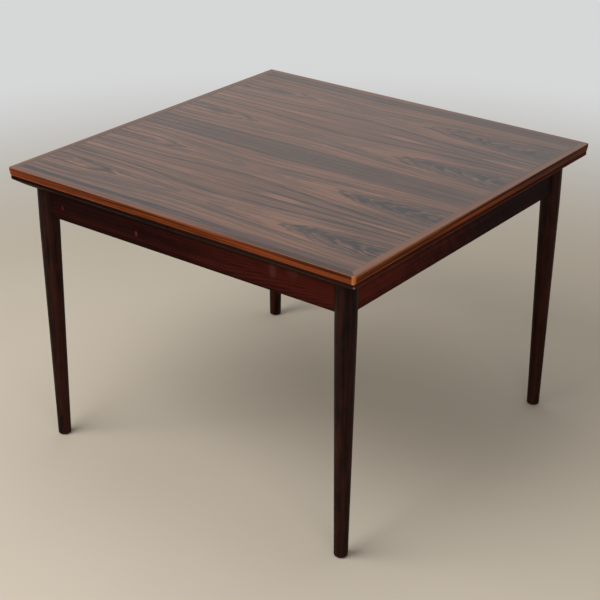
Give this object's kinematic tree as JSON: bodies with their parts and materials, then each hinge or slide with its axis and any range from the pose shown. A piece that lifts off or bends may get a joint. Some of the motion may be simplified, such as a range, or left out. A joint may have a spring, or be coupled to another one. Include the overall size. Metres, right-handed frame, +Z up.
{
  "type": "draw-leaf dining table",
  "caption": "Square rosewood dining table with round tapered legs, a loose top and a stowed leaf that draws out at each end.",
  "frame": {"origin": "on the floor, under the middle of the top", "axes": "+Z up, +X along the draw of the right leaf, -Y towards the front"},
  "size_m": [1, 1, 0.73],
  "materials": {
    "rosewood_veneer": "satin oiled rosewood veneer",
    "rosewood_lipping": "satin oiled solid rosewood",
    "rosewood_leg": "dark satin lacquered rosewood",
    "rosewood_apron": "dark satin lacquered rosewood",
    "beech": "bare planed beech",
    "screw_steel": "zinc-plated",
    "guide_brass": "dull brass",
    "green_felt": "wool felt",
    "glide_nylon": "matt"
  },
  "bodies": {
    "frame": {"apron_back": "rosewood_apron", "apron_front": "rosewood_apron", "apron_left": "rosewood_apron", "apron_right": "rosewood_apron", "centre_rail": "beech", "corner_block_back_left": "beech", "corner_block_back_right": "beech", "corner_block_front_left": "beech", "corner_block_front_right": "beech", "corner_block_screws": "screw_steel", "foot_glides": "glide_nylon", "leg_back_left": "rosewood_leg", "leg_back_right": "rosewood_leg", "leg_front_left": "rosewood_leg", "leg_front_right": "rosewood_leg", "runner_back": "beech", "runner_front": "beech", "runner_screws": "screw_steel"},
    "top": {"felt_pads": "green_felt", "guide_plate_back": "guide_brass", "guide_plate_front": "guide_brass", "guide_plate_screws": "screw_steel", "top_lipping_back": "rosewood_lipping", "top_lipping_front": "rosewood_lipping", "top_lipping_left": "rosewood_lipping", "top_lipping_right": "rosewood_lipping", "top_panel": "rosewood_veneer"},
    "left_leaf": {"left_leaf_back_bearer": "beech", "left_leaf_back_lipping": "rosewood_lipping", "left_leaf_bearer_screws": "screw_steel", "left_leaf_end_lipping": "rosewood_lipping", "left_leaf_front_bearer": "beech", "left_leaf_front_lipping": "rosewood_lipping", "left_leaf_panel": "rosewood_veneer", "left_leaf_stop_pegs": "beech"},
    "right_leaf": {"right_leaf_back_bearer": "beech", "right_leaf_back_lipping": "rosewood_lipping", "right_leaf_bearer_screws": "screw_steel", "right_leaf_end_lipping": "rosewood_lipping", "right_leaf_front_bearer": "beech", "right_leaf_front_lipping": "rosewood_lipping", "right_leaf_panel": "rosewood_veneer", "right_leaf_stop_pegs": "beech"}
  },
  "joints": [
    {"name": "right_leaf_draw", "type": "slide", "parent": "frame", "child": "right_leaf", "axis": [1, 0, 0], "range_m": [0, 0.499]},
    {"name": "left_leaf_draw", "type": "slide", "parent": "frame", "child": "left_leaf", "axis": [-1, 0, 0], "range_m": [0, 0.499]},
    {"name": "top_lift", "type": "slide", "parent": "frame", "child": "top", "axis": [0, 0, 1], "range_m": [0, 0.03]}
  ]
}
